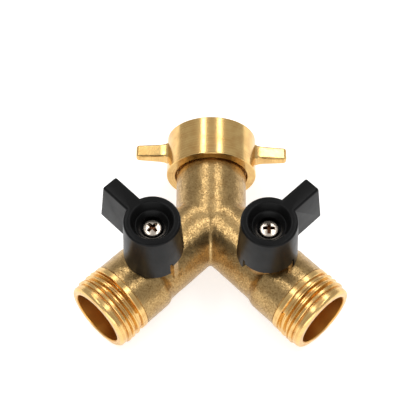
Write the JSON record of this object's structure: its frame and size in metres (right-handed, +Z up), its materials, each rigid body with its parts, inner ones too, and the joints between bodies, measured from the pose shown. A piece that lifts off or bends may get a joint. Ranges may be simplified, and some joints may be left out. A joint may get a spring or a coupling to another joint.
{
  "type": "hose splitter",
  "caption": "Brass Y hose splitter with a winged swivel inlet nut and two male-threaded outlets, each closed by a quarter-turn ball valve with a black lever knob.",
  "frame": {"origin": "centre of the inlet thread's first turn, 0.8 mm inside the swivel nut's mouth", "axes": "+Y along the inlet towards the tap, +X across the two outlets, +Z up on the knobs' side"},
  "size_m": [0.0972, 0.0834, 0.0515],
  "materials": {
    "cast_brass": "tumbled cast brass, satin",
    "turned_brass": "machined, fine turning lines",
    "spring_wire": "drawn wire",
    "black_rubber": "moulded rubber",
    "chromed_ball": "plated and polished",
    "ptfe": "turned PTFE, waxy",
    "black_plastic": "moulded, fine matt grain",
    "nickel_steel": "bright nickel plate"
  },
  "bodies": {
    "root": {"y_body": "cast_brass", "nut_retaining_ring": "spring_wire", "inlet_washer": "black_rubber", "left_inner_seat": "ptfe", "left_outer_seat": "ptfe", "left_seat_retainer": "turned_brass", "right_inner_seat": "ptfe", "right_outer_seat": "ptfe", "right_seat_retainer": "turned_brass"},
    "nut": {"swivel_nut": "turned_brass"},
    "left_valve": {"left_ball": "chromed_ball", "left_stem": "turned_brass", "left_stem_o_rings": "black_rubber", "left_stem_thrust_washer": "ptfe", "left_knob": "black_plastic", "left_knob_screw": "nickel_steel"},
    "right_valve": {"right_ball": "chromed_ball", "right_stem": "turned_brass", "right_stem_o_rings": "black_rubber", "right_stem_thrust_washer": "ptfe", "right_knob": "black_plastic", "right_knob_screw": "nickel_steel"}
  },
  "joints": [
    {"name": "nut_spin", "type": "hinge", "parent": "root", "child": "nut", "pos_m": [0, 0, 0], "axis": [0, 1, 0], "continuous": true},
    {"name": "left_valve_turn", "type": "hinge", "parent": "root", "child": "left_valve", "pos_m": [-0.01987, -0.05387, 0], "axis": [0, 0, 1], "range_deg": [-90, 0]},
    {"name": "right_valve_turn", "type": "hinge", "parent": "root", "child": "right_valve", "pos_m": [0.01987, -0.05387, 0], "axis": [0, 0, 1], "range_deg": [0, 90]}
  ]
}
